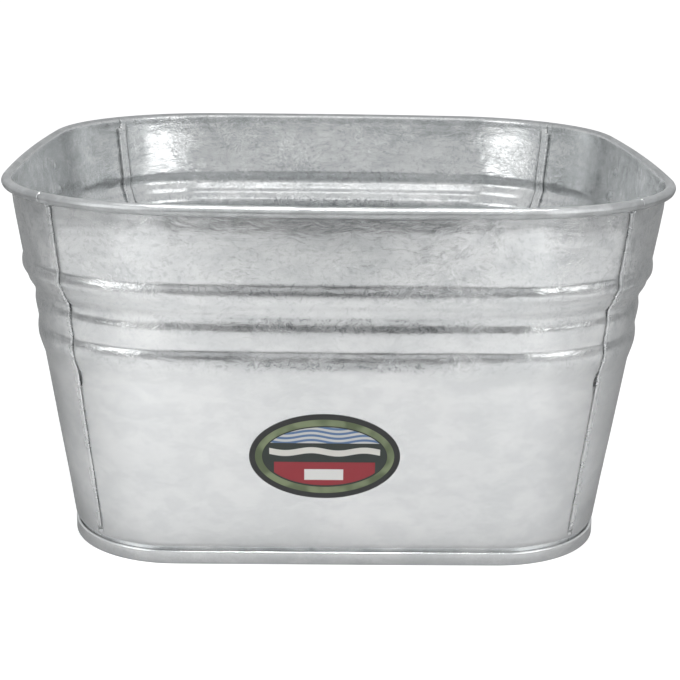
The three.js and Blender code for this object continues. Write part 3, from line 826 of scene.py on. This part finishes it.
color = mixed(tree, bloom.outputs["Tone"], (0.48, 0.5, 0.51, 1), (0.74, 0.75, 0.76, 1))
rough = remap(tree, bloom.outputs["Dullness"], 0, 1, 0.32, 0.5)
ripples = group_node(tree, sheet_crinkle, {"Vector": place, "Amount": 0.45})
relief = relief_of(tree, ripples.outputs["Height"], 0.7, 0.0005)
surface(tree, {"Base Color": color, "Metallic": 0.93, "Roughness": rough, "Normal": relief})


def on_wall(side, out, along, up):
    """A point beside a handle: out from the wall, along the side and up the wall."""
    x = EAR_WALL + out * math.cos(EAR_LEAN) + up * math.sin(EAR_LEAN)
    z = EAR_HEIGHT - out * math.sin(EAR_LEAN) + up * math.cos(EAR_LEAN)
    return Vector((side * x, along, z))


def ear_point(side, along, column, row):
    """A point of the strap: column goes along the side and row up the wall, with rounded ends."""
    out, up = ear_line[row]
    share = column / (EAR_COLUMNS - 1) * 2 - 1
    from_end = EAR_HALF_TALL - abs(up)
    half = EAR_HALF_WIDTH
    if from_end < 6:
        half *= math.sqrt(max(1 - ((6 - from_end) / 6.05) ** 2, 0.02)) * 0.45 + 0.55
    return on_wall(side, out, along + side * share * half, up)


for side, side_name in ((-1, "left"), (1, "right")):
    for along, end_name in ((-EAR_ALONG, "front"), (EAR_ALONG, "rear")):
        bm = grid_of(
            EAR_COLUMNS, len(ear_line), lambda column, row: ear_point(side, along, column, row)
        )
        ear = finished_object(f"{side_name}_{end_name}_ear_strap", bm, ear_zinc)
        thicken(ear, "strap thickness", EAR_SHEET)
        edge = ear.modifiers.new("worn edges", "BEVEL")
        edge.width = 0.3 * MM
        edge.segments = 2
        edge.limit_method = "ANGLE"
        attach(ear, "tub")
        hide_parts(f"{side_name}_{end_name}_ear")

# ---- Rivets ----
# Two solid steel rivets hold each ear, with a domed head outside and a flat tail hammered inside.
RIVET_UP = 10.75
RIVET_RADIUS, RIVET_HEAD, RIVET_DOME = 2, 4.2, 1.8
# From the tail's middle, inside the wall, to the top of the head, as (radius, out)
rivet_profile = [
    (0, -2.6), (3.0, -2.6), (3.5, -2.3), (3.6, -1.7), (3.4, -1.4),
    (RIVET_RADIUS, -1.4), (RIVET_RADIUS, 1.8), (4.0, 1.8),
]
for i in range(8):
    angle = math.pi / 2 * i / 7
    rivet_profile.append((RIVET_HEAD * math.cos(angle), 1.95 + RIVET_DOME * math.sin(angle)))
for side, side_name in ((-1, "left"), (1, "right")):
    for along, end_name in ((-EAR_ALONG, "front"), (EAR_ALONG, "rear")):
        for up, level_name in ((-RIVET_UP, "lower"), (RIVET_UP, "upper")):
            bm = bmesh.new()
            chain = [bm.verts.new((radius, 0, out)) for radius, out in rivet_profile]
            for before, after in zip(chain, chain[1:]):
                bm.edges.new((before, after))
            bmesh.ops.spin(
                bm, geom=bm.verts[:] + bm.edges[:], axis=(0, 0, 1), cent=(0, 0, 0),
                angle=2 * math.pi, steps=24, use_merge=True,
            )
            bmesh.ops.remove_doubles(bm, verts=bm.verts, dist=0.001)
            bmesh.ops.recalc_face_normals(bm, faces=bm.faces)
            for vert in bm.verts:
                vert.co = on_wall(side, vert.co.z, along + vert.co.x, up + vert.co.y)
            bmesh.ops.recalc_face_normals(bm, faces=bm.faces)
            name = f"{side_name}_{end_name}_{level_name}_rivet"
            rivet = finished_object(f"{name}_solid", bm, ear_zinc)
            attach(rivet, "tub")
            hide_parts(name)

# ---- Label ----
# An oval paper sticker with a satin film, smoothed down onto the lower front wall: a black border,
# an olive ring, and a dark field with plain coloured panels and no lettering.
LABEL_HALF_WIDTH, LABEL_HALF_TALL = 56, 35
LABEL_ACROSS, LABEL_HEIGHT = -10, 93
LABEL_RINGS, LABEL_COLUMNS = 40, 128
LABEL_OUT = 0.18
LABEL_FILM = 0.25


def label_point(column, row):
    """A point of the sticker on the front wall: column goes round it and row from its middle out."""
    share = row / LABEL_RINGS
    angle = 2 * math.pi * (column % LABEL_COLUMNS) / LABEL_COLUMNS
    across = LABEL_ACROSS + share * LABEL_HALF_WIDTH * math.cos(angle)
    height = LABEL_HEIGHT + share * LABEL_HALF_TALL * math.sin(angle)
    facing = math.asin(across / (side_beyond(height) + corner_radius(height)))
    return wall_point(3, height, profile_half(height), height, facing, LABEL_OUT)


bm = grid_of(LABEL_COLUMNS + 1, LABEL_RINGS + 1, label_point)
across_layer = bm.verts.layers.float.new("label_across")
up_layer = bm.verts.layers.float.new("label_up")
edge_layer = bm.verts.layers.float.new("label_edge")
for vert in bm.verts:
    row, column = divmod(vert.index, LABEL_COLUMNS + 1)
    share = row / LABEL_RINGS
    angle = 2 * math.pi * column / LABEL_COLUMNS
    across = LABEL_HALF_WIDTH * math.cos(angle)
    up = LABEL_HALF_TALL * math.sin(angle)
    slope = math.hypot(across / LABEL_HALF_WIDTH**2, up / LABEL_HALF_TALL**2)
    vert[across_layer] = share * across
    vert[up_layer] = share * up
    vert[edge_layer] = (1 - share) / slope
bmesh.ops.remove_doubles(bm, verts=bm.verts, dist=0.0005)
bmesh.ops.recalc_face_normals(bm, faces=bm.faces)
if bm.faces[0].normal.y > 0:
    bmesh.ops.reverse_faces(bm, faces=bm.faces)

label_print, tree = new_material("printed label film")
across = marked(tree, "label_across")
up = marked(tree, "label_up")
inset = marked(tree, "label_edge")
place = node(tree, "ShaderNodeTexCoord").outputs["Object"]


def between(value, low, high, soft=0.18):
    """1 where value lies from low to high, with a slightly soft edge."""
    rise = remap(tree, value, low - soft, low + soft)
    fall = remap(tree, value, high - soft, high + soft, 1, 0)
    return math_node(tree, "MULTIPLY", rise, fall)


def both(first, second):
    return math_node(tree, "MULTIPLY", first, second)


# The inks. Below, the printed shapes are placed in mm across and up from the label's middle, or
# inwards from its edge, and WHOLE is past every edge
BLACK, DARK_FIELD = (0.010, 0.011, 0.011, 1), (0.012, 0.02, 0.016, 1)
DARK_OLIVE, PALE_OLIVE = (0.085, 0.115, 0.05, 1), (0.2, 0.245, 0.13, 1)
STRIPE_WHITE, STRIPE_BLUE = (0.55, 0.56, 0.55, 1), (0.09, 0.17, 0.33, 1)
RIBBON_CREAM, PATCH_WHITE = (0.66, 0.65, 0.6, 1), (0.72, 0.72, 0.7, 1)
PANEL_RED = (0.28, 0.012, 0.022, 1)
WHOLE = 60

sheen = noise_node(tree, place, 70.0, 1.0).outputs[0]
olive = mixed(tree, remap(tree, sheen, 0.35, 0.65), DARK_OLIVE, PALE_OLIVE)
color = mixed(tree, between(inset, 4.4, 9.6), BLACK, olive)
color = mixed(tree, between(inset, 10.2, WHOLE), color, DARK_FIELD)
wave = math_node(tree, "SINE", math_node(tree, "MULTIPLY", across, 0.16))
waved = math_node(tree, "MULTIPLY_ADD", wave, 1.3, up)
band = math_node(tree, "FRACT", math_node(tree, "MULTIPLY", waved, 0.26))
stripes = mixed(tree, between(band, 0.0, 0.5, 0.06), STRIPE_WHITE, STRIPE_BLUE)
lens = both(between(inset, 10.6, WHOLE), between(up, 11.2, WHOLE))
color = mixed(tree, lens, color, stripes)
ribbon = both(between(waved, 1.6, 6.6), between(across, -41, 41))
color = mixed(tree, ribbon, color, RIBBON_CREAM)
panel = both(between(inset, 11, WHOLE), between(up, -24, -4.6))
panel = both(panel, between(across, -37.5, 37.5))
color = mixed(tree, panel, color, PANEL_RED)
patch = both(between(up, -19.5, -10.5), between(across, -15, 14))
color = mixed(tree, patch, color, PATCH_WHITE)
pulp = noise_node(tree, place, 900.0, 2.0).outputs[0]
surface(tree, {
    "Base Color": color, "Roughness": remap(tree, sheen, 0.2, 0.8, 0.32, 0.48),
    "Normal": relief_of(tree, pulp, 0.15, 0.0002), "Coat Weight": 0.35, "Coat Roughness": 0.25,
})
label = finished_object("front_label_sticker", bm, label_print)
thicken(label, "film thickness", LABEL_FILM)
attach(label, "tub")
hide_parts("front_label")
